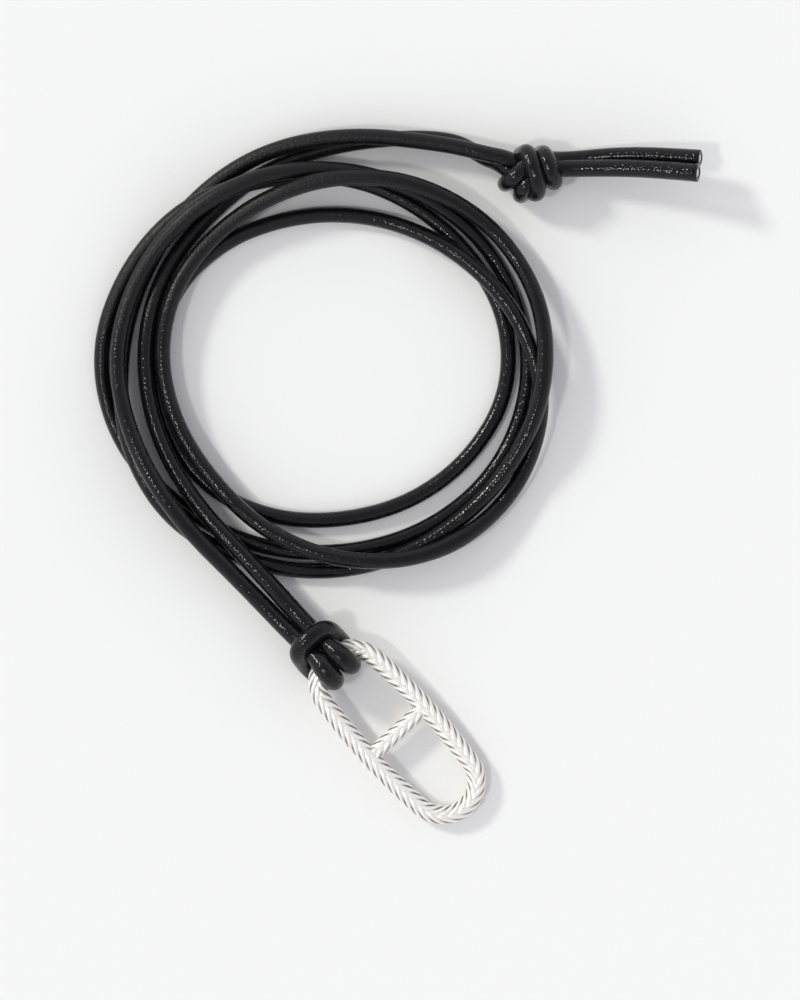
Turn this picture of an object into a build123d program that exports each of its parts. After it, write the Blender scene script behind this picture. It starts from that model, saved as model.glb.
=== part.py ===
from build123d import *
from math import asin, atan, cos, floor, pi, radians, sin, tan
import os

# Leather cord necklace with a cast silver oval link, laid down in a loose coil.
# The cord is one length, folded at the link and tied at its two ends.
# Millimetres, +Z up, the surface that it lies on at z = 0, the origin under the link's centre.

# Cord
cord_diameter = 2.35
cord_gap = 0.15
cord_radius = cord_diameter / 2
cord_pitch = cord_diameter + cord_gap

# Link, an oval of four arcs in round wire with one bar across its middle
link_length = 33.3
link_width = 14.1
side_bow = 0.55
wire_core_radius = 1.22
bar_core_radius = 1.0
link_heading = -47.5
cord_fit = 0.06
under_link_gap = 0.28

# Hitch, its folds' clear room inside the link and their small steps above each other
fold_room = 0.6
fold_step = 0.35
bar_lift = 1.4
strand_lift = 1.9

# Braid raised all round the link's wire and its bar
braid_relief = 0.23
braid_pitch = 1.56
braid_lean = 1.6
braid_shift = 0.2
wire_sides = 16
bar_sides = 12
steps_per_ridge = 4
bar_relief_share = 0.85

# Coil
coil_x = -11.0
coil_y = 56.6
clock_step = 24.0

# End knot and cut ends
knot_x = 19.9
knot_y = 83.9
knot_radius = 2.7
knot_core_radius = 2.35
knot_length = 9.2
knot_core_length = 7.2
wrap_spacing = 2.75
lobe_radius = 1.275
core_diameter = 1.4
core_depth = 1.6
core_gap = 0.04

# The coil's turns, clockwise as seen from above, a row for each clock angle.
# Columns: angle in degrees, then for turns 1 to 5 the centre line's distance from the coil's
# centre in millimetres, and its rise above the floor in cord pitches.
turn_rows = [
    (252, (36.1, 0.90), (30.1, 0.00), (25.4, 0.00), (27.6, 1.00), (32.8, 0.00)),
    (228, (32.3, 1.80), (31.1, 0.00), (26.3, 0.00), (24.8, 1.00), (33.4, 0.75)),
    (204, (31.0, 2.10), (32.8, 0.00), (25.7, 0.00), (24.1, 0.85), (31.9, 1.10)),
    (180, (30.8, 1.20), (33.2, 0.00), (24.9, 0.00), (24.1, 0.95), (30.0, 0.20)),
    (156, (29.8, 1.05), (31.8, 0.50), (24.0, 0.00), (24.1, 1.00), (29.2, 0.00)),
    (132, (28.7, 2.10), (30.2, 1.10), (22.3, 0.00), (23.6, 0.95), (29.8, 0.00)),
    (108, (27.8, 2.00), (27.7, 1.00), (20.9, 0.00), (24.5, 1.80), (31.1, 0.45)),
    (84, (27.4, 0.97), (26.5, 0.00), (20.8, 0.00), (26.3, 2.05), (32.6, 1.00)),
    (60, (27.8, 0.85), (26.1, 0.00), (22.2, 0.00), (28.8, 1.80), (35.8, 1.00)),
    (36, (28.8, 0.15), (26.2, 0.00), (24.9, 0.95), (31.3, 0.80)),
    (12, (29.9, 0.00), (27.4, 0.00), (29.2, 1.10), (33.0, 1.40)),
    (348, (31.1, 0.00), (27.4, 0.00), (33.0, 0.82), (32.9, 2.02)),
    (324, (30.9, 0.00), (26.2, 0.00), (34.8, 0.35), (32.2, 0.95)),
    (300, (30.1, 0.00), (25.2, 0.00), (34.2, 1.35), (32.0, 0.65)),
    (276, (29.6, 0.00), (24.7, 0.00), (31.0, 1.30), (32.4, 0.00)),
]
turn_count = 5

# The short strand up the coil's left side. Columns: angle, distance from the centre, rise.
short_rows = [
    (252, 32.5, 1.25),
    (228, 28.9, 0.95),
    (204, 27.3, 0.80),
    (180, 26.6, 0.77),
    (156, 26.6, 0.45),
    (132, 26.9, 0.00),
    (108, 28.7, 0.00),
    (84, 31.8, 0.00),
    (60, 36.8, 0.00),
]

# Worked out from the sizes above
wire_radius = wire_core_radius + braid_relief
half_width = link_width / 2 - wire_radius
end_radius = half_width - side_bow
end_centre = link_length / 2 - wire_radius - end_radius
side_radius = (end_centre**2 + half_width**2 - end_radius**2) / (2 * side_bow)
side_centre = side_radius - half_width
side_half_turn = atan(end_centre / side_centre)
near_rise = cord_diameter + wire_radius + under_link_gap
far_rise = wire_radius
link_rise = (near_rise + far_rise) / 2
link_tilt = asin((near_rise - far_rise) / (2 * (end_centre + end_radius)))
heading_x = cos(radians(link_heading))
heading_y = sin(radians(link_heading))
link_plane = Plane(
    origin=(0, 0, link_rise),
    x_dir=(heading_x * cos(link_tilt), heading_y * cos(link_tilt), -sin(link_tilt)),
    z_dir=(heading_x * sin(link_tilt), heading_y * sin(link_tilt), cos(link_tilt)),
)


def over_link(along, across, height):
    """A point given along and across the link, at a height above the floor."""
    return Vector(
        along * heading_x - across * heading_y,
        along * heading_y + across * heading_x,
        height,
    )


def coil_point(angle, distance, rise):
    """A route point that makes the centre line run at the given distance from the coil's centre."""
    corner = distance / cos(radians(clock_step / 2))
    return Vector(
        coil_x + corner * cos(radians(angle)),
        coil_y + corner * sin(radians(angle)),
        cord_radius + rise * cord_pitch,
    )


# The hitch: both strands pass over the wire, down through the link, back under the wire,
# and meet in one loop laid over the two strands.
over_wire = near_rise + wire_radius + cord_radius + cord_fit
under_wire = cord_radius
inside = -(end_centre + end_radius) + wire_radius + cord_radius + fold_room
hitch_points = [
    over_link(-20.6, 1.1, cord_radius + strand_lift),
    over_link(-17.2, 1.2, over_wire),
    over_link(inside, 1.3, over_wire + fold_step),
    over_link(inside, 1.4, under_wire),
    over_link(-14.5, 4.8, under_wire),
    over_link(-17.6, 4.5, under_wire + cord_pitch),
    over_link(-19.5, 3.1, over_wire + fold_step),
    over_link(-20.2, 0.0, over_wire + bar_lift),
    over_link(-20.0, -3.1, over_wire + fold_step),
    over_link(-18.1, -4.5, under_wire + cord_pitch),
    over_link(-14.7, -4.8, under_wire),
    over_link(inside, -1.4, under_wire),
    over_link(inside, -1.3, over_wire + fold_step),
    over_link(-17.2, -1.4, over_wire),
    over_link(-20.6, -1.5, cord_radius + strand_lift),
]

# Where the strands enter the end knot, one above the other
knot_in_short = Vector(knot_x - 5.4, knot_y + 1.6, cord_radius)
knot_in_long = Vector(knot_x - 5.5, knot_y + 2.4, cord_radius + cord_pitch)

# The two cut ends, from the knot outward, the lower one in front and higher above the floor
tail_upper_points = [
    Vector(knot_x + 5.0, knot_y + 2.5, cord_radius + 0.6),
    Vector(knot_x + 12.6, knot_y + 2.4, cord_radius + 1.8),
    Vector(knot_x + 18.8, knot_y + 2.35, cord_radius + 3.5),
    Vector(knot_x + 25.3, knot_y + 2.05, cord_radius + 5.4),
]
tail_lower_points = [
    Vector(knot_x + 5.0, knot_y + 0.6, cord_radius + 2.2),
    Vector(knot_x + 12.6, knot_y + 0.65, cord_radius + 3.5),
    Vector(knot_x + 18.8, knot_y + 0.4, cord_radius + 5.2),
    Vector(knot_x + 24.9, knot_y - 0.3, cord_radius + 7.1),
]


def corner_radii(points):
    """Each corner's arc: 0.45 of its shorter run, divided by the tangent of half its turn."""
    radii = []
    for before, here, after in zip(points, points[1:], points[2:]):
        run_in = here - before
        run_out = after - here
        half_turn = radians(run_in.get_angle(run_out)) / 2
        radii.append(0.45 * min(run_in.length, run_out.length) / tan(half_turn))
    return radii


def halfway(start, end):
    """The middle of a run, where one piece of the cord meets the next face to face."""
    return (start + end) * 0.5


def tube_plane(points):
    """The plane across the first end of a route."""
    return Plane(origin=points[0], z_dir=points[1] - points[0])


def report(name, part, points, radii):
    """Print a tube's tightest arc, and its volume against its section times its length."""
    length = sum((b - a).length for a, b in zip(points, points[1:]))
    for radius, before, here, after in zip(radii, points, points[1:], points[2:]):
        turn = radians((here - before).get_angle(after - here))
        length += radius * (turn - 2 * tan(turn / 2))
    ideal = pi * cord_radius**2 * length
    print(
        f"{name}: length {length:.1f}, radii {min(radii):.1f} to {max(radii):.1f},"
        f" volume {part.volume:.2f} against {ideal:.2f}"
    )


# The whole route of the cord as one list, with the places where its pieces meet
long_points = [
    coil_point(row[0], *row[turn])
    for turn in range(1, turn_count + 1)
    for row in turn_rows
    if len(row) > turn
]
short_points = [coil_point(*row) for row in short_rows]
route = [knot_in_short] + short_points[::-1] + hitch_points + long_points + [knot_in_long]
route_radii = corner_radii(route)

# The first corner of each piece, then one past the last corner
short_first = 1
hitch_first = short_first + len(short_points)
turn_first = hitch_first + len(hitch_points)
pieces = [("strand_short", short_first, hitch_first), ("hitch", hitch_first, turn_first)]
for turn in range(1, turn_count + 1):
    first = turn_first + (turn - 1) * len(turn_rows)
    last = min(first + len(turn_rows), turn_first + len(long_points))
    pieces.append((f"turn_{turn}", first, last))

os.makedirs("parts", exist_ok=True)

# Cord, one tube for each piece of the route
for name, first, last in pieces:
    start = route[0] if first == 1 else halfway(route[first - 1], route[first])
    end = route[-1] if last == len(route) - 1 else halfway(route[last - 1], route[last])
    points = [start] + route[first:last] + [end]
    radii = route_radii[first - 1 : last - 1]
    with BuildPart() as cord_piece:
        with BuildLine() as cord_line:
            FilletPolyline(*points, radius=radii)
        with BuildSketch(tube_plane(points)):
            Circle(cord_radius)
        sweep(path=cord_line.wires()[0])
    report(name, cord_piece.part, points, radii)
    cord_piece.part.label = name
    export_step(cord_piece.part, f"parts/{name}.step")

# Cut ends, each a tube bored at its end for the cotton core
for name, points in (("upper", tail_upper_points), ("lower", tail_lower_points)):
    radii = corner_radii(points)
    end_plane = Plane(origin=points[-1], z_dir=points[-2] - points[-1])
    with BuildPart() as tail:
        with BuildLine() as tail_line:
            FilletPolyline(*points, radius=radii)
        with BuildSketch(tube_plane(points)):
            Circle(cord_radius)
        sweep(path=tail_line.wires()[0])
        with BuildSketch(end_plane):
            Circle(core_diameter / 2 + core_gap)
        extrude(amount=core_depth, mode=Mode.SUBTRACT)
    report(f"tail_{name}", tail.part, points, radii)
    tail.part.label = f"tail_{name}"
    export_step(tail.part, f"parts/tail_{name}.step")

    with BuildPart() as core:
        with BuildSketch(end_plane):
            Circle(core_diameter / 2)
        extrude(amount=core_depth - core_gap)
    core.part.label = f"core_{name}"
    export_step(core.part, f"parts/core_{name}.step")

# End knot: two wraps round the strands that pass through it, and two loops below on the left
knot_rise = knot_radius + cord_radius
first_wrap_x = knot_x + 0.4
lobe_places = [
    (knot_x - 3.6, knot_y - 1.3, knot_rise - 0.7),
    (knot_x - 2.1, knot_y - 2.9, knot_rise - 0.9),
]
with BuildPart() as end_knot:
    with Locations(Location((knot_x, knot_y, knot_rise), (0, 90, 0))):
        Cylinder(knot_core_radius, knot_core_length)
    with Locations(Location((first_wrap_x, knot_y, knot_rise), (0, 90, 10))):
        Torus(knot_radius, cord_radius)
    with Locations(Location((first_wrap_x + wrap_spacing, knot_y + 0.4, knot_rise), (0, 90, 8))):
        Torus(knot_radius, cord_radius)
    with Locations(*lobe_places):
        Sphere(lobe_radius)
    for outside, inner in (
        (knot_in_short, route[1]),
        (knot_in_long, route[-2]),
        (tail_upper_points[0], tail_upper_points[1]),
        (tail_lower_points[0], tail_lower_points[1]),
    ):
        with BuildSketch(Plane(origin=outside, z_dir=outside - inner)):
            Circle(cord_radius)
        extrude(amount=knot_length / 2)
end_knot.part.label = "end_knot"
export_step(end_knot.part, "parts/end_knot.step")


def ridge(place, side_turn):
    """Height of the braid, 0 in a groove and 1 on a ridge, at a place along the wire in ridges
    and an angle from the top of the wire in half turns: each ridge leans back on both sides."""
    lean = braid_lean * abs(side_turn) * 2
    shift = braid_shift if side_turn > 0 else 0.0
    across = place + lean + shift
    phase = across - floor(across)
    return 1 - (2 * phase - 1) ** 2


def oval(distance):
    """Centre and outward direction on the link's centre line, at a distance along it."""
    for (along, across), radius, first_turn, sweep_turn in oval_arcs:
        if distance < radius * sweep_turn:
            break
        distance -= radius * sweep_turn
    turn = first_turn + distance / radius
    return (along + radius * cos(turn), across + radius * sin(turn)), (cos(turn), sin(turn))


def along_bar(distance):
    """Centre and outward direction on the bar's centre line, at a distance along it."""
    return (0.0, distance - half_width), (1.0, 0.0)


def braided_rings(places, core_radius, relief, sides, ridge_place, frame_of):
    """Rings of points round a braided wire: the radius is the core plus the relief of the ridges."""
    rings = []
    for place in places:
        (along, across), (out_along, out_across) = frame_of(place)
        ring = []
        for side in range(sides):
            turn = 2 * pi * side / sides
            from_top = (turn / pi + 0.5) % 2 - 1
            near_top = min(abs(from_top), 1 - abs(from_top))
            mirrored = near_top if from_top > 0 else -near_top
            radius = core_radius + relief * ridge(ridge_place(place), mirrored)
            level = radius * sin(turn)
            reach = radius * cos(turn)
            local = (along + reach * out_along, across + reach * out_across, level)
            ring.append(link_plane.from_local_coords(Vector(*local)))
        rings.append(ring)
    return rings


def triangles_between(one, other):
    """Two triangles for each side between neighbouring rings."""
    faces = []
    sides = len(one)
    for side in range(sides):
        following = (side + 1) % sides
        faces.append(Face(Wire.make_polygon([one[side], one[following], other[side]])))
        faces.append(Face(Wire.make_polygon([one[following], other[following], other[side]])))
    return faces


# The oval's arcs in turn, a side, the near end, the other side and the far end, each with its
# centre, its radius, the direction that it starts in and the turn that it makes
side_sweep = 2 * side_half_turn
end_sweep = pi - side_sweep
oval_arcs = [
    ((0.0, -side_centre), side_radius, pi / 2 - side_half_turn, side_sweep),
    ((-end_centre, 0.0), end_radius, pi / 2 + side_half_turn, end_sweep),
    ((0.0, side_centre), side_radius, -pi / 2 - side_half_turn, side_sweep),
    ((end_centre, 0.0), end_radius, -pi / 2 + side_half_turn, end_sweep),
]

# The braid runs on round the oval, against the order of its arcs
link_round = 2 * (side_radius * side_sweep + end_radius * end_sweep)
ridge_count = round(link_round / braid_pitch)
ridge_length = link_round / ridge_count
wire_step = ridge_length / steps_per_ridge
wire_rings = braided_rings(
    [i * wire_step for i in range(ridge_count * steps_per_ridge)],
    wire_core_radius,
    braid_relief,
    wire_sides,
    lambda place: -place / ridge_length,
    oval,
)
wire_faces = []
for one, other in zip(wire_rings, wire_rings[1:] + wire_rings[:1]):
    wire_faces += triangles_between(one, other)

bar_length = 2 * half_width
bar_ridges = round(bar_length / braid_pitch)
bar_steps = bar_ridges * steps_per_ridge
bar_rings = braided_rings(
    [i * bar_length / bar_steps for i in range(bar_steps + 1)],
    bar_core_radius,
    braid_relief * bar_relief_share,
    bar_sides,
    lambda place: place * bar_ridges / bar_length,
    along_bar,
)
bar_faces = [Face(Wire.make_polygon(bar_rings[0])), Face(Wire.make_polygon(bar_rings[-1]))]
for one, other in zip(bar_rings, bar_rings[1:]):
    bar_faces += triangles_between(one, other)

# Pendant link, the braided oval and its bar as one soldered piece
with BuildPart() as pendant_link:
    add(Solid(Shell(wire_faces)))
    add(Solid(Shell(bar_faces)))
pendant_link.part.label = "pendant_link"
export_step(pendant_link.part, "parts/pendant_link.step")
print(f"link: {ridge_count} ridges round, {len(wire_faces) + len(bar_faces)} triangles")
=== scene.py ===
"""A round black leather cord necklace with an oval silver link, laid down in a loose coil.

Everything is in the frame of the solids: +Z up, the floor at z = 0, and the origin under the
centre of the link. Sizes are in metres, except in CordLie, where they are in millimetres.
"""
import logging
from dataclasses import dataclass, field
from enum import Enum

import bpy
import numpy as np
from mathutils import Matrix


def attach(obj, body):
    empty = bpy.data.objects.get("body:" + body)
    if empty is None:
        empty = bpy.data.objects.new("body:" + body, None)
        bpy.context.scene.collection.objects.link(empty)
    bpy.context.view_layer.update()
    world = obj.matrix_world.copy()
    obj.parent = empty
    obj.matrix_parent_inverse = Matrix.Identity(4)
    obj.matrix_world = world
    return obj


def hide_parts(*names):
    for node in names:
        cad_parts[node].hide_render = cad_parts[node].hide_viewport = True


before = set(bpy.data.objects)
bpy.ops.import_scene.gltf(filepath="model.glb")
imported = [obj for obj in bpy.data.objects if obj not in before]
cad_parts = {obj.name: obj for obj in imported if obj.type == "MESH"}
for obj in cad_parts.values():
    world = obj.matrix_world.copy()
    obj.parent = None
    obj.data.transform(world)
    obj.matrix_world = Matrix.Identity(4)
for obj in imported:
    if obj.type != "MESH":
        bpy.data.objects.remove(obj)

log = logging.getLogger("necklace")

Pair = tuple[float, float]
Triple = tuple[float, float, float]
Rows = list[Triple]
Socket = bpy.types.NodeSocket

MM = 0.001
# A direction that no stretch of the cord runs along.
NEARLY_UP = np.array([0.013, 0.021, 1.0])


class TailEnd(Enum):
    """Which of the two cut ends a strand runs out to."""

    UPPER = "upper"
    LOWER = "lower"


def into_scene(piece: bpy.types.Object) -> bpy.types.Object:
    """Put a new object into the scene and hand it back."""
    bpy.context.scene.collection.objects.link(piece)
    return piece


def unit(vectors: np.ndarray) -> np.ndarray:
    """Scale each row of an array to length one."""
    return vectors / np.linalg.norm(vectors, axis=-1, keepdims=True)


def bell(distance: np.ndarray, half: float, power: int) -> np.ndarray:
    """A bell, 1 in the middle and 0 far off: exp(-(distance / half)^power)."""
    return np.exp(-((distance / half) ** power))


def soft_step(distance: np.ndarray, ease: float) -> np.ndarray:
    """A step from 0 to 1, eased at both ends: 1 / (1 + exp(-distance / ease))."""
    return 1 / (1 + np.exp(-distance / ease))


def set_span(node: bpy.types.Node, span: Pair, onto: Pair) -> None:
    """Have a Map Range node turn one span of values into another."""
    for name, value in zip(("From Min", "From Max", "To Min", "To Max"), (*span, *onto)):
        node.inputs[name].default_value = value


class Board:
    """A material's node tree, with short ways to add and join its nodes."""

    def __init__(self, name: str) -> None:
        """Start an empty tree with one Principled shader joined to the output.

        Args:
            name: The material's name.
        """
        self.material = bpy.data.materials.new(name)
        self.material.use_nodes = True
        self.tree = self.material.node_tree
        self.tree.nodes.clear()
        self.output = self.add("ShaderNodeOutputMaterial")
        self.shader = self.add("ShaderNodeBsdfPrincipled")
        self.join(self.shader.outputs["BSDF"], self.output.inputs["Surface"])

    def add(self, kind: str, **settings: str) -> bpy.types.Node:
        """Add a node.

        Args:
            kind: The node's type name.
            settings: Attributes of the node, by name.

        Returns:
            The new node.
        """
        node = self.tree.nodes.new(kind)
        for name, value in settings.items():
            setattr(node, name, value)
        return node

    def join(self, source: Socket, target: Socket) -> None:
        """Join an output socket to an input socket."""
        self.tree.links.new(source, target)

    def math(self, operation: str, first: Socket | float, second: Socket | float) -> Socket:
        """Add a Math node.

        Args:
            operation: The operation's name, such as MULTIPLY.
            first: The first value, a socket or a number.
            second: The second value, a socket or a number.

        Returns:
            The node's output socket.
        """
        node = self.add("ShaderNodeMath", operation=operation)
        for slot, value in zip(node.inputs, (first, second)):
            if isinstance(value, Socket):
                self.join(value, slot)
            else:
                slot.default_value = value
        return node.outputs["Value"]

    def spread(self, value: Socket, onto: Pair, span: Pair = (0.0, 1.0)) -> Socket:
        """Map a value's span onto another, and hold the value at the ends beyond.

        Args:
            value: The value.
            onto: What it becomes at the start and at the end of its span.
            span: Where its own span starts and ends.

        Returns:
            The mapped value's socket.
        """
        node = self.add("ShaderNodeMapRange")
        set_span(node, span, onto)
        self.join(value, node.inputs["Value"])
        return node.outputs["Result"]

    def place(self) -> Socket:
        """The point on the surface, in metres in the object's own frame."""
        return self.add("ShaderNodeTexCoord").outputs["Object"]

    def noise(self, where: Socket, grain: float, detail: float) -> Socket:
        """Soft noise.

        Args:
            where: The point to read it at.
            grain: The size of its lumps, in metres.
            detail: How many finer layers it holds.

        Returns:
            Its value socket, 0 to 1.
        """
        node = self.add("ShaderNodeTexNoise")
        node.inputs["Scale"].default_value = 1.0 / grain
        node.inputs["Detail"].default_value = detail
        self.join(where, node.inputs["Vector"])
        return node.outputs["Fac"]

    def colour(self, value: Socket, span: Pair, first: Triple, last: Triple) -> None:
        """Colour the surface from one colour to another, over a value's span.

        Args:
            value: The value that the colour follows.
            span: Where the blend starts and ends.
            first: The linear colour at its start and below.
            last: The linear colour at its end and beyond.
        """
        node = self.add("ShaderNodeValToRGB")
        for stop, position, tone in zip(node.color_ramp.elements, span, (first, last)):
            stop.position = position
            stop.color = (*tone, 1.0)
        self.join(value, node.inputs["Fac"])
        self.join(node.outputs["Color"], self.shader.inputs["Base Color"])

    def bump(self, height: Socket, depth: float) -> None:
        """Raise the surface by a relief that the shading alone shows.

        Args:
            height: The relief's height, from 0 to 1.
            depth: How high 1 stands, in metres.
        """
        node = self.add("ShaderNodeBump")
        node.inputs["Distance"].default_value = depth
        self.join(height, node.inputs["Height"])
        self.join(node.outputs["Normal"], self.shader.inputs["Normal"])


@dataclass(frozen=True)
class LeatherFinish:
    """Black nappa: a fine pebble grain of low domes, soft creases and smoother stretches.

    The grain is polished by wear, but the coil's upper left has stayed dull: roughness rises by
    dull_rise while y - dull_slope x goes over dull_span.
    """

    pebble: float = 0.45 * MM
    pebble_depth: float = 0.062 * MM
    pebble_dome: float = 2.0
    stretch: float = 7.0 * MM
    stretch_relief: Pair = (0.35, 1.15)
    crease: float = 1.1 * MM
    crease_share: float = 0.6
    tone: float = 3.2 * MM
    tone_span: Pair = (0.15, 0.62)
    dark: Triple = (0.0015, 0.0015, 0.002)
    pale: Triple = (0.005, 0.005, 0.0065)
    polish: float = 0.6 * MM
    polish_roughness: Pair = (0.02, 0.18)
    dull_slope: float = 0.5
    dull_span: Pair = (76.0 * MM, 86.0 * MM)
    dull_rise: float = 0.32
    specular: float = 0.33
    sheen: float = 0.02
    sheen_roughness: float = 0.5

    def pebbles(self, board: Board, where: Socket) -> Socket:
        """The grain's domes, 1 - d^pebble_dome, with d the distance from a pebble's middle.

        Args:
            board: The material's node tree.
            where: The point on the surface.

        Returns:
            The domes' height.
        """
        cells = board.add("ShaderNodeTexVoronoi", feature="F1")
        cells.inputs["Scale"].default_value = 1.0 / self.pebble
        cells.inputs["Randomness"].default_value = 1.0
        board.join(where, cells.inputs["Vector"])
        fall = board.math("POWER", cells.outputs["Distance"], self.pebble_dome)
        return board.math("SUBTRACT", 1.0, fall)

    def roughness(self, board: Board, where: Socket) -> Socket:
        """Roughness: small patches of polish, and the dull part of the coil.

        Args:
            board: The material's node tree.
            where: The point on the surface.

        Returns:
            The roughness.
        """
        patches = board.noise(where, self.polish, detail=3.0)
        polish = board.spread(patches, self.polish_roughness)
        parts = board.add("ShaderNodeSeparateXYZ")
        board.join(where, parts.inputs["Vector"])
        sideways = board.math("MULTIPLY", parts.outputs["X"], self.dull_slope)
        behind = board.math("SUBTRACT", parts.outputs["Y"], sideways)
        dull = board.spread(behind, (0.0, self.dull_rise), self.dull_span)
        return board.math("ADD", polish, dull)

    def material(self) -> bpy.types.Material:
        """Build the leather.

        Returns:
            The material.
        """
        board = Board("black_leather")
        where = board.place()
        pebbles = self.pebbles(board, where)
        relief = board.spread(board.noise(where, self.stretch, detail=2.0), self.stretch_relief)
        creases = board.noise(where, self.crease, detail=4.0)
        domes = board.math("MULTIPLY", pebbles, relief)
        folds = board.math("MULTIPLY", creases, self.crease_share)
        board.bump(board.math("ADD", domes, folds), self.pebble_depth)
        tone = board.math("MULTIPLY", board.noise(where, self.tone, detail=5.0), pebbles)
        board.colour(tone, self.tone_span, self.dark, self.pale)
        board.join(self.roughness(board, where), board.shader.inputs["Roughness"])
        board.shader.inputs["Specular IOR Level"].default_value = self.specular
        board.shader.inputs["Sheen Weight"].default_value = self.sheen
        board.shader.inputs["Sheen Roughness"].default_value = self.sheen_roughness
        return board.material


@dataclass(frozen=True)
class SilverFinish:
    """Cast silver, polished on its ridges and dull in the grooves between them, coloured dark there
    with tarnish and painted shade, the painted shade deepest toward the wire's sides.
    """

    bright: Triple = (0.985, 0.95, 0.90)
    tarnish_and_painted_shade: Triple = (0.10, 0.08, 0.065)
    tarnish_and_painted_shade_span: Pair = (0.28, 0.66)
    stain: float = 0.8 * MM
    stain_share: float = 0.2
    roughness: Pair = (0.50, 0.34)
    metallic: float = 0.5
    pit: float = 0.35 * MM
    pit_depth: float = 0.02 * MM

    def material(self) -> bpy.types.Material:
        """Build the silver, whose grooves, dark with tarnish and painted shade, are read from the
        mesh's own relief attribute.

        Returns:
            The material.
        """
        board = Board("cast_silver")
        where = board.place()
        # The relief attribute is the groove brightness, tarnish and painted shade, not a height.
        relief = board.add("ShaderNodeAttribute", attribute_name="relief").outputs["Fac"]
        stain = board.noise(where, self.stain, detail=4.0)
        level = board.math("ADD", relief, board.math("MULTIPLY", stain, self.stain_share))
        # Tarnish and painted shade colour the grooves; the ridges stay polished.
        board.colour(level, self.tarnish_and_painted_shade_span, self.tarnish_and_painted_shade, self.bright)
        board.join(board.spread(level, self.roughness), board.shader.inputs["Roughness"])
        board.shader.inputs["Metallic"].default_value = self.metallic
        board.bump(board.noise(where, self.pit, detail=3.0), self.pit_depth)
        return board.material


@dataclass(frozen=True)
class CottonFinish:
    """The cut end of a white cotton core: many short fibres, seen end on."""

    pale: Triple = (0.80, 0.79, 0.76)
    shade: Triple = (0.52, 0.50, 0.46)
    shade_span: Pair = (0.32, 0.58)
    fibre: float = 0.09 * MM
    fibre_depth: float = 0.06 * MM
    roughness: float = 0.95
    sheen: float = 0.3

    def material(self) -> bpy.types.Material:
        """Build the cotton.

        Returns:
            The material.
        """
        board = Board("white_cotton")
        fibres = board.noise(board.place(), self.fibre, detail=4.0)
        board.colour(fibres, self.shade_span, self.shade, self.pale)
        board.shader.inputs["Roughness"].default_value = self.roughness
        board.shader.inputs["Sheen Weight"].default_value = self.sheen
        board.bump(fibres, self.fibre_depth)
        return board.material


@dataclass(frozen=True)
class FloorFinish:
    """A plain pale sweep of matt paper."""

    paper: Triple = (0.90, 0.90, 0.905)
    roughness: float = 0.9
    specular: float = 0.1

    def material(self) -> bpy.types.Material:
        """Build the paper.

        Returns:
            The material.
        """
        board = Board("pale_paper")
        board.shader.inputs["Base Color"].default_value = (*self.paper, 1.0)
        board.shader.inputs["Roughness"].default_value = self.roughness
        board.shader.inputs["Specular IOR Level"].default_value = self.specular
        return board.material


def grid_mesh(
    name: str,
    rings: np.ndarray,
    closed: bool,
    material: bpy.types.Material,
    uv: np.ndarray | None = None,
) -> bpy.types.Object:
    """Build a smooth mesh from rings of points.

    Ring i is joined to ring i + 1, and point j to point j + 1, both round to the first one
    where the surface closes. An open run of rings gets a flat face at each end.

    Args:
        name: The object's name.
        rings: Points, as an array of rings by points round a ring by 3.
        closed: Whether the last ring meets the first.
        material: The finish.
        uv: Place along and round the surface for each point, or None.

    Returns:
        The object, in the scene, at the origin.
    """
    count, sides = rings.shape[:2]
    index = np.arange(count * sides).reshape(count, sides)
    here = index if closed else index[:-1]
    ahead = np.roll(index, -1, axis=0) if closed else index[1:]
    quads = np.stack(
        [here, np.roll(here, -1, axis=1), np.roll(ahead, -1, axis=1), ahead], axis=-1
    ).reshape(-1, 4)
    faces = quads.tolist()
    if not closed:
        faces += [index[0, ::-1].tolist(), index[-1].tolist()]
    mesh = bpy.data.meshes.new(name)
    mesh.from_pydata(rings.reshape(-1, 3), [], faces)
    smooth = np.ones(len(faces), dtype=bool)
    if not closed:
        smooth[-2:] = False
        ends = np.array(mesh.edge_keys)
        sharp = (ends < sides).all(axis=1) | (ends >= (count - 1) * sides).all(axis=1)
        flags = mesh.attributes.new("sharp_edge", "BOOLEAN", "EDGE")
        flags.data.foreach_set("value", sharp)
    mesh.polygons.foreach_set("use_smooth", smooth)
    if uv is not None:
        corners = np.empty(len(mesh.loops), dtype=np.int32)
        mesh.loops.foreach_get("vertex_index", corners)
        layer = mesh.uv_layers.new(name="along_and_round")
        layer.uv.foreach_set("vector", uv.reshape(-1, 2)[corners].ravel())
    mesh.materials.append(material)
    mesh.validate()
    return into_scene(bpy.data.objects.new(name, mesh))


def tube_rings(path: np.ndarray, radii: np.ndarray, sides: int) -> np.ndarray:
    """Carry a circle along a path without letting it turn about the path.

    A first pair of directions across the path comes from a fixed one: side = t x up. The turn
    between each pair and the one before, carried along, is then summed and taken off, so ring i
    is c(i) + r(i) (cos(w(i) - a) side(i) + sin(w(i) - a) rise(i)), with w the summed turn.

    Args:
        path: Centres, as an array of points by 3.
        radii: The tube's radius at each centre.
        sides: Points round each ring.

    Returns:
        Rings of points, centres by sides by 3.
    """
    tangent = unit(np.gradient(path, axis=0))
    side = unit(np.cross(tangent, NEARLY_UP))
    rise = np.cross(side, tangent)
    carried = side[:-1] - (side[:-1] * tangent[1:]).sum(-1, keepdims=True) * tangent[1:]
    turn = np.arctan2((carried * rise[1:]).sum(-1), (carried * side[1:]).sum(-1))
    summed = np.concatenate([[0.0], np.cumsum(turn)])
    angle = summed[:, None] - np.linspace(0, 2 * np.pi, sides, endpoint=False)[None, :]
    ring = np.cos(angle)[..., None] * side[:, None] + np.sin(angle)[..., None] * rise[:, None]
    return path[:, None] + radii[:, None, None] * ring


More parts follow.
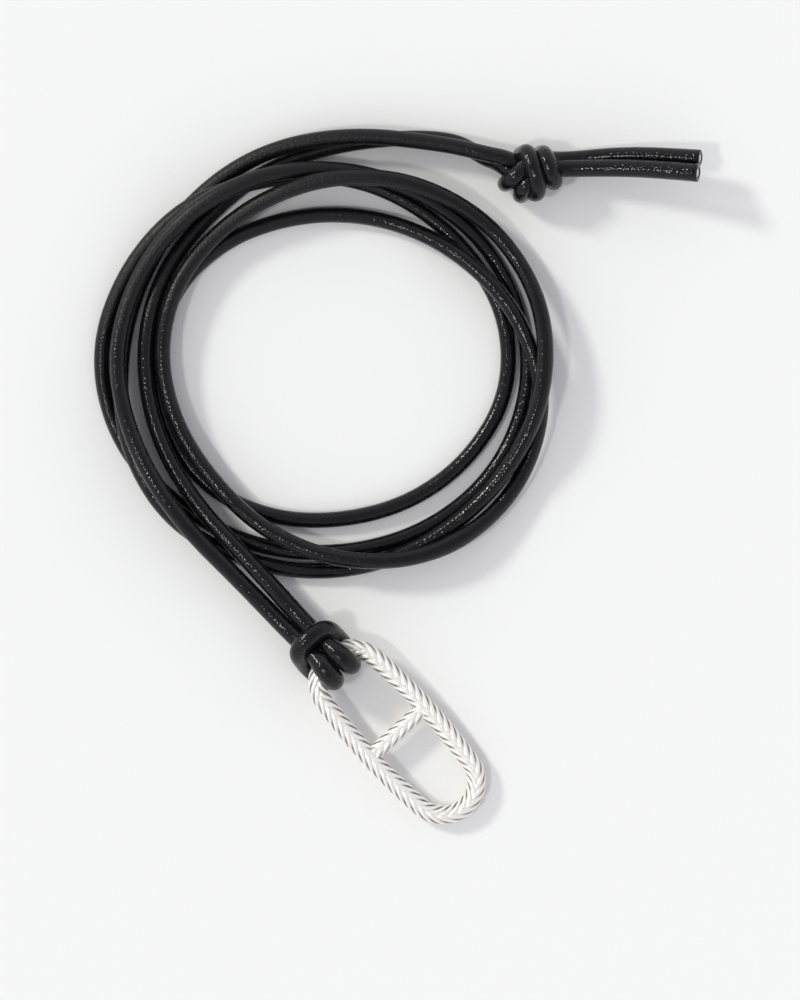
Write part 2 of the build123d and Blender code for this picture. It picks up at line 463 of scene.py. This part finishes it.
def end_rings(
    tip: np.ndarray,
    heading: np.ndarray,
    spokes: np.ndarray,
    out: np.ndarray,
    reach: np.ndarray,
) -> np.ndarray:
    """Rings about a cut end: tip + out(k) heading + reach(k) spoke(j).

    Args:
        tip: The middle of the cut end.
        heading: The direction that the cord's end points in.
        spokes: Directions across the cord, one for each point round it.
        out: How far each ring stands out past the cut.
        reach: Each ring's radius.

    Returns:
        Rings of points, rings by spokes by 3.
    """
    return tip + out[:, None, None] * heading + reach[:, None, None] * spokes


@dataclass
class LinkFrame:
    """The link's sizes, and where it lies: its near end is raised on the cord that goes under it.

    near_rise is how high the wire's middle is held at that end. The far end rests on the floor.
    """

    length: float = 33.3 * MM
    width: float = 14.1 * MM
    side_bow: float = 0.55 * MM
    wire_core: float = 1.08 * MM
    relief: float = 0.37 * MM
    heading: float = np.radians(-47.5)
    near_rise: float = 4.08 * MM

    def __post_init__(self) -> None:
        """Work out the four arcs that the wire's centre line follows, and its tilt.

        The sides bow out by b, so their radius is (c^2 + w^2 - e^2) / (2 b), with c the place of
        the end arcs' centres, w the half width and e the ends' radius.
        """
        self.wire = self.wire_core + self.relief
        self.half_width = self.width / 2 - self.wire
        self.end_radius = self.half_width - self.side_bow
        self.end_centre = self.length / 2 - self.wire - self.end_radius
        reach = self.end_centre + self.end_radius
        spread = self.end_centre**2 + self.half_width**2 - self.end_radius**2
        self.side_radius = spread / (2 * self.side_bow)
        self.side_centre = self.side_radius - self.half_width
        self.side_half_turn = np.arctan2(self.end_centre, self.side_centre)
        self.rise = (self.near_rise + self.wire) / 2
        self.tilt = np.arcsin((self.near_rise - self.wire) / (2 * reach))
        cos_h, sin_h = np.cos(self.heading), np.sin(self.heading)
        cos_t, sin_t = np.cos(self.tilt), np.sin(self.tilt)
        self.along = np.array([cos_h * cos_t, sin_h * cos_t, -sin_t])
        self.across = np.array([-sin_h, cos_h, 0.0])
        self.up = np.cross(self.along, self.across)

    def to_world(self, local: np.ndarray) -> np.ndarray:
        """Turn points given along, across and above the link's middle plane into the scene's."""
        basis = np.stack([self.along, self.across, self.up])
        return local @ basis + np.array([0.0, 0.0, self.rise])

    def over(self, along: float, across: float, height: float) -> Triple:
        """A point given by its place on the link as seen from above.

        Args:
            along: Along the link, in millimetres.
            across: Across the link, in millimetres.
            height: Above the floor, in millimetres.

        Returns:
            The point, in metres.
        """
        cos_h, sin_h = np.cos(self.heading), np.sin(self.heading)
        return (
            (along * cos_h - across * sin_h) * MM,
            (along * sin_h + across * cos_h) * MM,
            height * MM,
        )

    def seen_from_above(self, points: np.ndarray) -> tuple[np.ndarray, np.ndarray]:
        """Where points lie on the link as seen from above.

        Args:
            points: The points, one to a row.

        Returns:
            Their places along the link and across it, in metres.
        """
        cos_h, sin_h = np.cos(self.heading), np.sin(self.heading)
        x, y = points[:, 0], points[:, 1]
        return x * cos_h + y * sin_h, y * cos_h - x * sin_h


@dataclass
class PendantLink:
    """The cast link: an oval of plaited silver wire with one bar across its middle."""

    lie: LinkFrame
    finish: SilverFinish
    pitch: float = 1.56 * MM
    lean: float = 1.9
    inner_shift: float = 0.2
    leaf_skew: float = 0.7
    leaf_round: float = 2.2
    parting_depth: float = 0.3
    parting_half: float = 0.14
    # The shine values set how dark the grooves are painted: tarnish, with painted shade growing
    # toward the wire's sides.
    shine_round: float = 1.8
    shine_middle: float = 0.25
    shine_slope: float = 1.3
    bar_core: float = 0.95 * MM
    bar_relief: float = 0.26 * MM
    rings_per_leaf: int = 18
    sides: int = 52

    def leaf(self, place: np.ndarray, angle: np.ndarray) -> tuple[np.ndarray, np.ndarray]:
        """Height of the plait, 0 in a groove and 1 on a leaf, and the brightness of its colour,
        darkened in the grooves by tarnish and painted shade.

        With q the angle from the nearer of the wire's top and bottom over a quarter turn, a
        leaf's phase is p = frac(place + lean q + inner_shift on the inner side). Its height is
        (1 - |2 p^leaf_skew - 1|^leaf_round) (1 - parting_depth exp(-(q / parting_half)^2)),
        steep at its back and low where both sides meet. Its colour is dark in the groove, with
        tarnish and painted shade, the painted shade deepest toward the edges:
        1 - |2 p - 1|^shine_round min(shine_middle + shine_slope q, 1).

        Args:
            place: Place along the wire, in leaves.
            angle: Angle round the wire from outward, in radians.

        Returns:
            The height, and the brightness that paints tarnish and shade, at each place and angle.
        """
        aside = np.arcsin(np.abs(np.cos(angle))) / (np.pi / 2)
        shift = np.where(np.cos(angle) < 0, self.inner_shift, 0.0)
        phase = np.mod(place + self.lean * aside + shift, 1.0)
        crest = 1 - np.abs(2 * phase**self.leaf_skew - 1) ** self.leaf_round
        height = crest * (1 - self.parting_depth * bell(aside, self.parting_half, 2))
        # Dark grooves: tarnish, with painted shade growing toward the wire's sides.
        groove = np.abs(2 * phase - 1) ** self.shine_round
        return height, 1 - groove * np.minimum(self.shine_middle + self.shine_slope * aside, 1.0)

    def plait(
        self,
        line: np.ndarray,
        outward: np.ndarray,
        place: np.ndarray,
        core: float,
        relief: float,
    ) -> tuple[np.ndarray, np.ndarray]:
        """Wrap the plait round a line in the link's middle plane.

        The surface is c(i) + r (cos(a) o(i) + sin(a) up), with r = core + relief leaf(i, a).

        Args:
            line: The line's points c, along and across the link.
            outward: The direction o at each point, square to the line.
            place: Place along the line, in leaves.
            core: The radius in a groove.
            relief: How much further out a leaf stands.

        Returns:
            Rings of points, and the brightness, with its tarnish and painted shade, at each point.
        """
        angle = np.linspace(0, 2 * np.pi, self.sides, endpoint=False)
        height, bright = self.leaf(place[:, None], angle[None, :])
        thick = core + relief * height
        flat = line[:, None] + (thick * np.cos(angle))[..., None] * outward[:, None]
        local = np.concatenate([flat, (thick * np.sin(angle))[..., None]], axis=-1)
        return self.lie.to_world(local), bright

    def wire_rings(self) -> tuple[np.ndarray, np.ndarray]:
        """The oval's surface, the plait round four arcs.

        Each arc is its centre + radius (cos(t), sin(t)), with t running over its sweep. The
        leaves point against the way round.

        Returns:
            Rings of points, and the brightness, with its tarnish and painted shade, at each point.
        """
        lie = self.lie
        bow = lie.side_half_turn
        # A side, the near end, the other side and the far end, in turn.
        radius = np.array([lie.side_radius, lie.end_radius, lie.side_radius, lie.end_radius])
        first = np.array([np.pi / 2 - bow, np.pi / 2 + bow, -np.pi / 2 - bow, -np.pi / 2 + bow])
        centre = np.array(
            [(0, -lie.side_centre), (-lie.end_centre, 0), (0, lie.side_centre), (lie.end_centre, 0)]
        )
        sweep = np.array([2 * bow, np.pi - 2 * bow, 2 * bow, np.pi - 2 * bow])
        ends = np.cumsum(radius * sweep)
        total = ends[-1]
        leaves = round(total / self.pitch)
        s = np.linspace(0, total, leaves * self.rings_per_leaf, endpoint=False)
        arc = np.searchsorted(ends, s, "right")
        turn = first[arc] + (s - ends[arc]) / radius[arc] + sweep[arc]
        outward = np.stack([np.cos(turn), np.sin(turn)], axis=-1)
        line = centre[arc] + radius[arc, None] * outward
        return self.plait(line, outward, -s / total * leaves, lie.wire_core, lie.relief)

    def bar_rings(self) -> tuple[np.ndarray, np.ndarray]:
        """The bar's surface, the same plait along a straight line between the wire's centres.

        Returns:
            Rings of points, and the brightness, with its tarnish and painted shade, at each point.
        """
        length = 2 * self.lie.half_width
        leaves = round(length / self.pitch)
        s = np.linspace(0, length, leaves * self.rings_per_leaf + 1)
        line = np.stack([np.zeros_like(s), self.lie.half_width - s], axis=-1)
        outward = np.broadcast_to([1.0, 0.0], line.shape)
        return self.plait(line, outward, -s / length * leaves, self.bar_core, self.bar_relief)

    def build(self) -> None:
        """Build the wire and the bar, and put them in the solid link's place."""
        material = self.finish.material()
        for name, (rings, bright), closed in (
            ("link_wire", self.wire_rings(), True),
            ("link_bar", self.bar_rings(), False),
        ):
            piece = grid_mesh(name, rings, closed, material)
            # The relief attribute carries the painted groove colour: tarnish and painted shade.
            layer = piece.data.attributes.new("relief", "FLOAT", "POINT")
            layer.data.foreach_set("value", bright.ravel())
            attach(piece, "root")
            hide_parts("pendant_link")
            log.info("%s: %d faces", name, len(piece.data.polygons))


@dataclass
class CordLie:
    """How the cord lies: the points that its line is drawn to, in millimetres and degrees.

    Heights in the coil are in cord pitches: a stretch at 1 lies on a strand that is at 0.
    """

    lie: LinkFrame
    diameter: float = 2.35
    pitch: float = 2.5
    centre: Pair = (-11.0, 56.6)
    clock_step: float = 24.0
    knot: Pair = (19.9, 83.9)
    # Along and across the link, and the height: where both strands leave the hitch.
    exit_place: Triple = (-16.5, 0.0, 4.0)
    # Clock angle, then a pair for each turn that passes there: distance from the coil's centre
    # and height.
    turns: list[tuple] = field(
        default_factory=lambda: [
            (252, (36.1, 0.90), (30.1, 0.00), (25.4, 0.00), (27.6, 1.00), (32.8, 0.00)),
            (228, (32.3, 1.80), (31.1, 0.00), (26.3, 0.00), (24.8, 1.00), (33.6, 0.75)),
            (204, (31.0, 2.10), (33.05, 0.00), (25.7, 0.00), (24.1, 0.85), (32.1, 1.10)),
            (180, (30.8, 1.20), (33.5, 0.00), (24.9, 0.00), (24.1, 0.95), (30.0, 0.20)),
            (156, (29.8, 1.05), (31.6, 0.50), (24.0, 0.00), (24.1, 1.00), (29.2, 0.00)),
            (132, (28.7, 2.10), (29.85, 1.10), (22.15, 0.00), (23.8, 0.95), (29.8, 0.00)),
            (108, (27.8, 2.00), (27.1, 1.00), (20.75, 0.00), (24.5, 1.80), (31.1, 0.45)),
            (84, (27.4, 0.97), (26.4, 0.00), (20.8, 0.00), (26.3, 2.05), (32.4, 1.00)),
            (60, (27.8, 0.85), (25.9, 0.00), (22.2, 0.00), (28.8, 1.80), (35.45, 1.00)),
            (36, (28.9, 0.15), (26.0, 0.00), (24.9, 0.95), (31.45, 0.80)),
            (12, (30.15, 0.00), (27.5, 0.00), (29.2, 1.10), (33.15, 1.40)),
            (348, (30.9, 0.00), (27.8, 0.00), (33.6, 0.82), (33.1, 2.02)),
            (324, (30.9, 0.00), (26.45, 0.00), (35.15, 0.35), (32.2, 0.95)),
            (300, (30.1, 0.00), (25.3, 0.00), (34.2, 1.35), (32.0, 0.65)),
            (276, (29.6, 0.00), (24.7, 0.00), (31.0, 1.30), (32.4, 0.00)),
        ]
    )
    # Clock angle, distance from the coil's centre and height.
    short_turn: Rows = field(
        default_factory=lambda: [
            (252, 32.8, 1.25),
            (228, 28.9, 0.95),
            (204, 27.3, 0.80),
            (180, 26.6, 0.77),
            (156, 26.6, 0.45),
            (132, 26.5, 0.00),
            (108, 28.5, 0.00),
            (84, 31.35, 0.00),
            (60, 36.85, 0.00),
        ]
    )
    # Along and across the link, and the height: from the short strand to the long one.
    hitch: Rows = field(
        default_factory=lambda: [
            (-20.6, 0.86, 3.1),
            (-17.2, 1.2, 6.6),
            (-12.1, 1.75, 7.6),
            (-12.1, 1.75, 1.2),
            (-14.4, 3.05, 1.2),
            (-16.6, 3.2, 3.4),
            (-18.8, 2.9, 6.8),
            (-19.4, -0.1, 7.8),
            (-19.0, -3.0, 6.8),
            (-17.0, -3.5, 3.4),
            (-14.6, -3.5, 1.2),
            (-12.1, -1.7, 1.2),
            (-12.1, -1.7, 7.6),
            (-17.2, -1.3, 6.6),
            (-20.6, -1.78, 3.1),
        ]
    )
    # Right of, above and over the knot's middle on the floor, from the coil to the cut end.
    knot_long: Rows = field(
        default_factory=lambda: [
            (-6.6, 2.55, 3.7),
            (-3.6, 1.95, 3.7),
            (-0.6, 0.3, 3.3),
            (2.9, -1.25, 3.3),
            (3.65, -1.8, 4.8),
            (3.25, -0.75, 6.6),
            (2.65, 1.0, 6.9),
            (2.05, 2.3, 6.0),
            (1.9, 2.65, 4.05),
            (1.35, 2.6, 1.35),
            (0.0, -0.3, 1.24),
            (-1.0, -3.2, 1.24),
            (-1.5, -3.75, 3.3),
            (-1.2, -2.7, 5.7),
            (0.6, -1.2, 5.4),
            (2.7, 0.3, 3.75),
        ]
    )
    knot_short: Rows = field(
        default_factory=lambda: [
            (-6.6, 1.85, 1.24),
            (-5.1, 1.45, 1.9),
            (-3.1, 0.1, 2.9),
            (-0.6, -2.4, 3.2),
            (0.95, -3.7, 4.7),
            (1.1, -2.2, 6.75),
            (0.45, 0.5, 7.2),
            (-0.45, 2.6, 6.0),
            (-0.75, 2.75, 4.05),
            (-1.35, 2.55, 1.35),
            (-2.55, -0.3, 1.24),
            (-3.4, -1.65, 1.24),
            (-3.8, -1.95, 3.3),
            (-3.0, -1.5, 5.7),
            (-1.2, 0.0, 6.0),
            (1.2, 1.8, 4.2),
        ]
    )
    # The two cut ends, given in the same way.
    tail_upper: Rows = field(
        default_factory=lambda: [
            (5.0, 1.7, 1.8),
            (12.6, 2.4, 3.0),
            (18.8, 2.35, 4.7),
            (25.3, 1.8, 6.6),
        ]
    )
    tail_lower: Rows = field(
        default_factory=lambda: [
            (5.0, 0.4, 3.4),
            (12.6, 0.45, 4.7),
            (18.8, 0.15, 6.4),
            (24.9, -0.45, 8.3),
        ]
    )

    def coil_point(self, angle: float, distance: float, rise: float) -> np.ndarray:
        """A point whose drawn line passes at a distance from the coil's centre.

        A smooth line cuts inside its points, so the point is put out by 1 / cos(step / 2).

        Args:
            angle: Clock angle from +X, in degrees.
            distance: The line's distance from the coil's centre.
            rise: Height above the floor, in cord pitches.

        Returns:
            The point, in metres.
        """
        out = distance / np.cos(np.radians(self.clock_step / 2))
        turn = np.radians(angle)
        return MM * np.array(
            [
                self.centre[0] + out * np.cos(turn),
                self.centre[1] + out * np.sin(turn),
                self.diameter / 2 + rise * self.pitch,
            ]
        )

    def by_knot(self, rows: Rows) -> np.ndarray:
        """Points given from the knot's middle on the floor, in metres."""
        return MM * (np.array(rows) + np.array([*self.knot, 0.0]))

    def exit_point(self) -> np.ndarray:
        """Where both strands leave the hitch, in metres."""
        return np.array(self.lie.over(*self.exit_place))

    def seam(self) -> np.ndarray:
        """Where the two strands' tubes meet, midway from the hitch to the short strand's coil."""
        return (self.lie.over(*self.hitch[0]) + self.coil_point(*self.short_turn[0])) / 2

    def long_route(self) -> np.ndarray:
        """The hitch, the coil, the knot and the lower cut end, in order.

        Returns:
            The route's points, in metres.
        """
        hitch = [self.lie.over(*row) for row in self.hitch]
        most = max(len(row) for row in self.turns)
        coil = [
            self.coil_point(row[0], *row[turn])
            for turn in range(1, most)
            for row in self.turns
            if len(row) > turn
        ]
        knot, tail = self.by_knot(self.knot_long), self.by_knot(self.tail_lower)
        return np.vstack([self.seam(), hitch, coil, knot, tail])

    def short_route(self) -> np.ndarray:
        """The short strand, the knot and the upper cut end, in order.

        Returns:
            The route's points, in metres.
        """
        strand = [self.coil_point(*row) for row in self.short_turn]
        knot, tail = self.by_knot(self.knot_short), self.by_knot(self.tail_upper)
        return np.vstack([self.seam(), strand, knot, tail])


@dataclass(frozen=True)
class Fullness:
    """How much fuller than its plain radius the cord is, as shares of it, and where.

    Places by the link are along and across it as seen from above.
    """

    fold: float = 0.34
    fold_place: float = -12.9 * MM
    fold_half: float = 2.9 * MM
    wire_top: float = 4.2 * MM
    wire_ease: float = 0.5 * MM
    strands: float = 0.18
    strands_place: float = -21.0 * MM
    strands_half: float = 13.0 * MM
    strands_aside: float = 3.4 * MM
    strands_start: float = -18.5 * MM
    strands_ease: int = 20
    knot: float = 0.08
    knot_half: float = 5.0 * MM
    past_start: float = 4.0 * MM
    past_ease: float = 1.0 * MM
    lift_start: float = 1.2 * MM
    lift_per_metre: float = 12.0

    def by_link(self, path: np.ndarray, lie: LinkFrame) -> np.ndarray:
        """The fold over the link, and both strands where they leave it.

        With u along and v across the link, the fold is exp(-((u - fold_place) / fold_half)^4)
        above the wire. The strands are exp(-((u - strands_place) / strands_half)^2)
        exp(-(v / strands_aside)^4) before strands_start and none past it, averaged over
        strands_ease points to each side.

        Args:
            path: The line's points.
            lie: Where the link lies.

        Returns:
            The share to add at each point.
        """
        along, across = lie.seen_from_above(path)
        above = soft_step(path[:, 2] - self.wire_top, self.wire_ease)
        fold = self.fold * bell(along - self.fold_place, self.fold_half, 4) * above
        middle = bell(across, self.strands_aside, 4)
        strands = self.strands * bell(along - self.strands_place, self.strands_half, 2) * middle
        strands = np.where(along > self.strands_start, 0.0, strands)
        window = 2 * self.strands_ease + 1
        padded = np.pad(strands, self.strands_ease, "edge")
        return fold + np.convolve(padded, np.full(window, 1 / window), "valid")

    def by_knot(self, path: np.ndarray, knot: Pair, past: float) -> np.ndarray:
        """The knot, exp(-(d / knot_half)^4) from its middle, and the end past it.

        Args:
            path: The line's points.
            knot: The knot's middle, in millimetres.
            past: The share by which this strand's end is fuller past the knot.

        Returns:
            The share to add at each point.
        """
        from_knot = path[:, :2] - MM * np.array(knot)
        tied = self.knot * bell(np.linalg.norm(from_knot, axis=1), self.knot_half, 4)
        return tied + past * soft_step(from_knot[:, 0] - self.past_start, self.past_ease)

    def by_height(self, path: np.ndarray) -> np.ndarray:
        """The share to add at each point, lift_per_metre for each metre above lift_start."""
        return self.lift_per_metre * np.clip(path[:, 2] - self.lift_start, 0, None)


@dataclass
class LeatherCord:
    """One strand of the cord, a tube along a smooth line, with its white core at the cut end."""

    name: str
    route: np.ndarray
    lie: LinkFrame
    knot: Pair
    tail: TailEnd
    past_knot: float
    leather: bpy.types.Material
    cotton: bpy.types.Material
    stands_for: tuple[str, ...]
    fullness: Fullness = Fullness()
    radius: float = 1.175 * MM
    sides: int = 24
    steps_per_point: int = 18
    # The cut end's rings: a softly rounded rim, then the bore down to the cotton.
    rim_out: tuple[float, ...] = (0.04 * MM, 0.08 * MM, 0.06 * MM, -0.10 * MM)
    rim_width: tuple[float, ...] = (0.985, 0.93, 0.66, 0.60)
    core_radius: float = 0.72 * MM
    core_depth: float = 1.4 * MM
    core_sunk: float = 0.12 * MM
    core_dome: float = 0.16 * MM
    core_rings: int = 9
    core_closed: float = 0.97

    def line(self) -> np.ndarray:
        """Draw the smooth line that the route's points control.

        It is a spline of order 3, which starts and ends on the route's first and last points.

        Returns:
            The line's points, in metres.
        """
        curve = bpy.data.curves.new(f"{self.name}_line", "CURVE")
        curve.dimensions = "3D"
        curve.resolution_u = self.steps_per_point
        spline = curve.splines.new("NURBS")
        spline.points.add(len(self.route) - 1)
        places = np.column_stack([self.route, np.ones(len(self.route))])
        spline.points.foreach_set("co", places.ravel())
        spline.order_u = 3
        spline.use_endpoint_u = True
        holder = into_scene(bpy.data.objects.new(f"{self.name}_line", curve))
        drawn = bpy.data.meshes.new_from_object(
            holder.evaluated_get(bpy.context.evaluated_depsgraph_get())
        )
        points = np.empty(len(drawn.vertices) * 3)
        drawn.vertices.foreach_get("co", points)
        bpy.data.meshes.remove(drawn)
        bpy.data.objects.remove(holder)
        bpy.data.curves.remove(curve)
        return points.reshape(-1, 3)

    def build(self, exit_point: np.ndarray) -> None:
        """Args:
            exit_point: Where the strand leaves the link. It is not used.
        """
        path = self.line()
        fuller = self.fullness.by_link(path, self.lie) + self.fullness.by_height(path)
        fuller += self.fullness.by_knot(path, self.knot, self.past_knot)
        radii = self.radius * (1 + fuller)
        body = tube_rings(path, radii, self.sides)
        heading = unit(path[-1] - path[-2])
        spokes = (body[-1] - path[-1]) / radii[-1]
        out = np.array(self.rim_out)
        rim = end_rings(path[-1], heading, spokes, out, self.radius * np.array(self.rim_width))
        steps = np.linalg.norm(np.diff(path, axis=0), axis=1)
        run = np.concatenate([[0.0], np.cumsum(steps)])
        length = float(run[-1])
        run = np.concatenate([run, length + np.abs(out)])
        around = np.linspace(0, 1, self.sides, endpoint=False)
        uv = np.stack(np.broadcast_arrays(run[:, None], around[None, :]), axis=-1)
        piece = grid_mesh(self.name, np.vstack([body, rim]), False, self.leather, uv)
        core = self.core(path[-1], heading, spokes)
        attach(piece, "root")
        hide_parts(*self.stands_for)
        log.info("%s: %.1f mm, %d faces", self.name, length / MM, len(piece.data.polygons))

    def core(
        self, tip: np.ndarray, heading: np.ndarray, spokes: np.ndarray
    ) -> bpy.types.Object:
        """Build the cotton core, a short plug with a softly domed face.

        Ring k of the face has radius core_radius cos(k), and stands out by
        core_dome sin(k) - core_sunk, for k from 0 to core_closed of a quarter turn.

        Args:
            tip: The middle of the cut end.
            heading: The direction that the cord's end points in.
            spokes: Directions across the cord, one for each point round it.

        Returns:
            The core.
        """
        turn = np.linspace(0, np.pi / 2 * self.core_closed, self.core_rings)
        face = self.core_dome * np.sin(turn) - self.core_sunk
        out = np.concatenate([[-self.core_depth, -self.core_depth / 2], face])
        reach = self.core_radius * np.concatenate([[1.0, 1.0], np.cos(turn)])
        rings = end_rings(tip, heading, spokes, out, reach)
        piece = grid_mesh(f"cotton_{self.tail.value}", rings, False, self.cotton)
        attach(piece, "root")
        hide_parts(f"core_{self.tail.value}")
        log.info("%s: %d faces", piece.name, len(piece.data.polygons))
        return piece


@dataclass(frozen=True)
class FarLight:
    """A soft light so far off that the whole floor has it alike.

    Its spread is how wide it looks from the floor, in degrees, and its strength is in watts for
    each square metre that faces it.
    """

    name: str
    toward: Triple
    spread: float
    strength: float
    colour: Triple

    def build(self) -> None:
        """Hang the light and turn it to the floor."""
        lamp = bpy.data.lights.new(self.name, "SUN")
        lamp.angle = np.radians(self.spread)
        lamp.energy = self.strength
        lamp.color = self.colour
        holder = into_scene(bpy.data.objects.new(self.name, lamp))
        x, y, z = self.toward
        holder.location = self.toward
        holder.rotation_euler = (np.arctan2(np.hypot(x, y), z), 0.0, np.arctan2(y, x) + np.pi / 2)


@dataclass
class Studio:
    """The pale floor, two soft far lights on the left, a bright room, and the camera above."""

    lights: tuple[FarLight, ...] = (
        FarLight("key", (-0.678, 0.460, 0.574), 10.0, 1.25, (0.985, 1.0, 0.87)),
        FarLight("glint", (-0.40, -0.19, 0.90), 6.5, 0.56, (1.0, 1.0, 0.95)),
    )
    room_colour: Triple = (0.945, 0.945, 1.0)
    room_rise: Pair = (0.55, 0.85)
    room_strength: Pair = (0.89, 0.49)
    view_centre: Pair = (0.425 * MM, 34.7 * MM)
    view_height: float = 150.0 * MM
    camera_height: float = 1.2
    camera_near: float = 0.05
    sensor: float = 36.0
    floor_half: float = 1.5

    def build(self) -> None:
        """Set up the floor, the room, the lights and the camera."""
        self.floor()
        self.room()
        for light in self.lights:
            light.build()
        self.camera()

    def floor(self) -> None:
        """Lay the paper that the necklace rests on."""
        half = self.floor_half
        corners = np.array([(-half, -half, 0), (half, -half, 0), (half, half, 0), (-half, half, 0)])
        mesh = bpy.data.meshes.new("paper")
        mesh.from_pydata(corners, [], [(0, 1, 2, 3)])
        mesh.materials.append(FloorFinish().material())
        into_scene(bpy.data.objects.new("paper", mesh))

    def room(self) -> None:
        """Fill the room with soft light, brighter round the walls than overhead.

        Its strength goes over room_strength while the direction's height goes over room_rise.
        """
        world = bpy.data.worlds.new("room")
        world.use_nodes = True
        tree = world.node_tree
        sky = tree.nodes["Background"]
        toward = tree.nodes.new("ShaderNodeTexCoord")
        parts = tree.nodes.new("ShaderNodeSeparateXYZ")
        strength = tree.nodes.new("ShaderNodeMapRange")
        set_span(strength, self.room_rise, self.room_strength)
        tree.links.new(toward.outputs["Generated"], parts.inputs["Vector"])
        tree.links.new(parts.outputs["Z"], strength.inputs["Value"])
        tree.links.new(strength.outputs["Result"], sky.inputs["Strength"])
        sky.inputs["Color"].default_value = (*self.room_colour, 1.0)
        bpy.context.scene.world = world
        bpy.context.scene.view_settings.view_transform = "Standard"

    def camera(self) -> None:
        """Look straight down on the whole necklace, as the photograph does."""
        lens = bpy.data.cameras.new("camera")
        lens.sensor_width = self.sensor
        lens.lens = self.sensor * self.camera_height / self.view_height
        lens.clip_start = self.camera_near
        holder = into_scene(bpy.data.objects.new("camera", lens))
        holder.location = (*self.view_centre, self.camera_height)
        bpy.context.scene.camera = holder


def main() -> None:
    """Build the necklace and the studio round it, and report each piece."""
    logging.basicConfig(level=logging.INFO, format="%(name)s: %(message)s")
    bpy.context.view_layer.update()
    lie = LinkFrame()
    cord = CordLie(lie)
    leather = LeatherFinish().material()
    cotton = CottonFinish().material()
    PendantLink(lie, SilverFinish()).build()
    LeatherCord(
        name="strand_long",
        route=cord.long_route(),
        lie=lie,
        knot=cord.knot,
        tail=TailEnd.LOWER,
        past_knot=0.10,
        leather=leather,
        cotton=cotton,
        stands_for=(
            "hitch", "turn_1", "turn_2", "turn_3", "turn_4", "turn_5", "end_knot", "tail_lower"
        ),
    ).build(cord.exit_point())
    LeatherCord(
        name="strand_short_full",
        route=cord.short_route(),
        lie=lie,
        knot=cord.knot,
        tail=TailEnd.UPPER,
        past_knot=0.02,
        leather=leather,
        cotton=cotton,
        stands_for=("strand_short", "end_knot", "tail_upper"),
    ).build(cord.exit_point())
    Studio().build()


if __name__ == "__main__":
    main()
